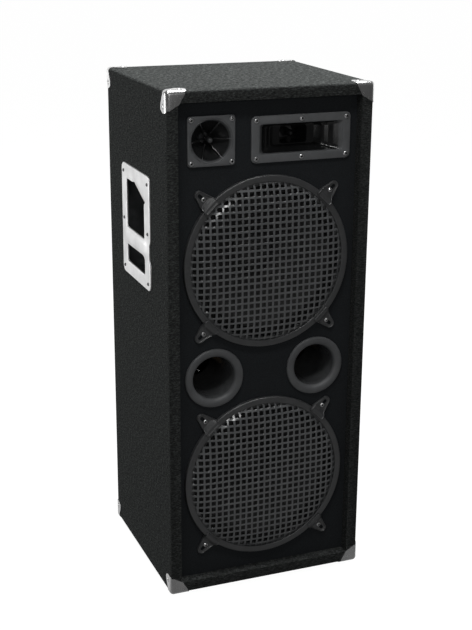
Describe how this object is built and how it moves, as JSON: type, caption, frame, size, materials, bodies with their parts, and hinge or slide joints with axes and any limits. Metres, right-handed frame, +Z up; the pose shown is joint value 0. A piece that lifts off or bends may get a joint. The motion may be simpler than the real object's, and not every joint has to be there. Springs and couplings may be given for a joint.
{
  "type": "pa speaker",
  "caption": "Tall felt-covered PA loudspeaker cabinet with twin grilled woofers, horn, tweeter, bass ports, side bar handles and steel corners.",
  "frame": {"origin": "on the floor under the centre of the cabinet, at the rubber feet's undersides", "axes": "+Z up the cabinet, the grilles face -Y, +X towards the cabinet's right-hand side seen from the front"},
  "size_m": [0.3856, 0.3536, 0.9388],
  "materials": {
    "felt": "coarse needle-punched felt",
    "board": "bare particle board",
    "baffle": "matt black textured paint",
    "black_steel": "satin black powder coat",
    "black_plastic": "satin moulded",
    "zinc": "bright zinc plate",
    "handle_steel": "satin nickel plate",
    "paper": "pressed paper pulp",
    "foam": "treated cloth",
    "copper": "enamelled winding",
    "ferrite": "sintered, with plated steel plates",
    "spider_cloth": "resin-treated cotton",
    "rubber": "matt",
    "circuit": "solder-masked board"
  },
  "bodies": {
    "cabinet": {"side_panel_left": "board", "side_panel_right": "board", "top_panel": "board", "bottom_panel": "board", "back_panel": "board", "cross_brace": "board", "felt_cover": "felt", "front_baffle": "baffle", "crossover_board": "circuit", "lower_woofer_magnet": "ferrite", "lower_woofer_surround": "foam", "lower_woofer_spider": "spider_cloth", "lower_woofer_basket": "black_steel", "lower_woofer_grille_ring": "black_steel", "lower_woofer_grille_mesh": "black_steel", "lower_clamp_top_right": "black_steel", "lower_clamp_top_left": "black_steel", "lower_clamp_bottom_left": "black_steel", "lower_clamp_bottom_right": "black_steel", "upper_woofer_magnet": "ferrite", "upper_woofer_surround": "foam", "upper_woofer_spider": "spider_cloth", "upper_woofer_basket": "black_steel", "upper_woofer_grille_ring": "black_steel", "upper_woofer_grille_mesh": "black_steel", "upper_clamp_top_right": "black_steel", "upper_clamp_top_left": "black_steel", "upper_clamp_bottom_left": "black_steel", "upper_clamp_bottom_right": "black_steel", "bass_port_left": "black_plastic", "bass_port_right": "black_plastic", "tweeter_horn": "black_plastic", "tweeter_element": "black_plastic", "midrange_horn": "black_plastic", "midrange_driver": "ferrite", "handle_plate_left": "handle_steel", "handle_tray_left": "black_plastic", "handle_plate_right": "handle_steel", "handle_tray_right": "black_plastic", "corner_bottom_front_left": "zinc", "corner_bottom_front_right": "zinc", "corner_bottom_back_left": "zinc", "corner_bottom_back_right": "zinc", "corner_top_front_left": "zinc", "corner_top_front_right": "zinc", "corner_top_back_left": "zinc", "corner_top_back_right": "zinc", "foot_front_left": "rubber", "foot_front_right": "rubber", "foot_back_left": "rubber", "foot_back_right": "rubber", "connector_dish": "black_plastic", "socket_input": "black_plastic", "socket_output": "black_plastic"},
    "lower_cone_assembly": {"lower_woofer_cone": "paper", "lower_woofer_dust_cap": "paper", "lower_woofer_voice_coil": "copper"},
    "upper_cone_assembly": {"upper_woofer_cone": "paper", "upper_woofer_dust_cap": "paper", "upper_woofer_voice_coil": "copper"}
  },
  "joints": [
    {"name": "lower_cone_travel", "type": "slide", "parent": "cabinet", "child": "lower_cone_assembly", "axis": [0, 1, 0], "range_m": [-0.005, 0.005], "stiffness_N_per_m": 4500, "deforming": ["lower_woofer_surround", "lower_woofer_spider"]},
    {"name": "upper_cone_travel", "type": "slide", "parent": "cabinet", "child": "upper_cone_assembly", "axis": [0, 1, 0], "range_m": [-0.005, 0.005], "stiffness_N_per_m": 4500, "deforming": ["upper_woofer_surround", "upper_woofer_spider"]}
  ]
}
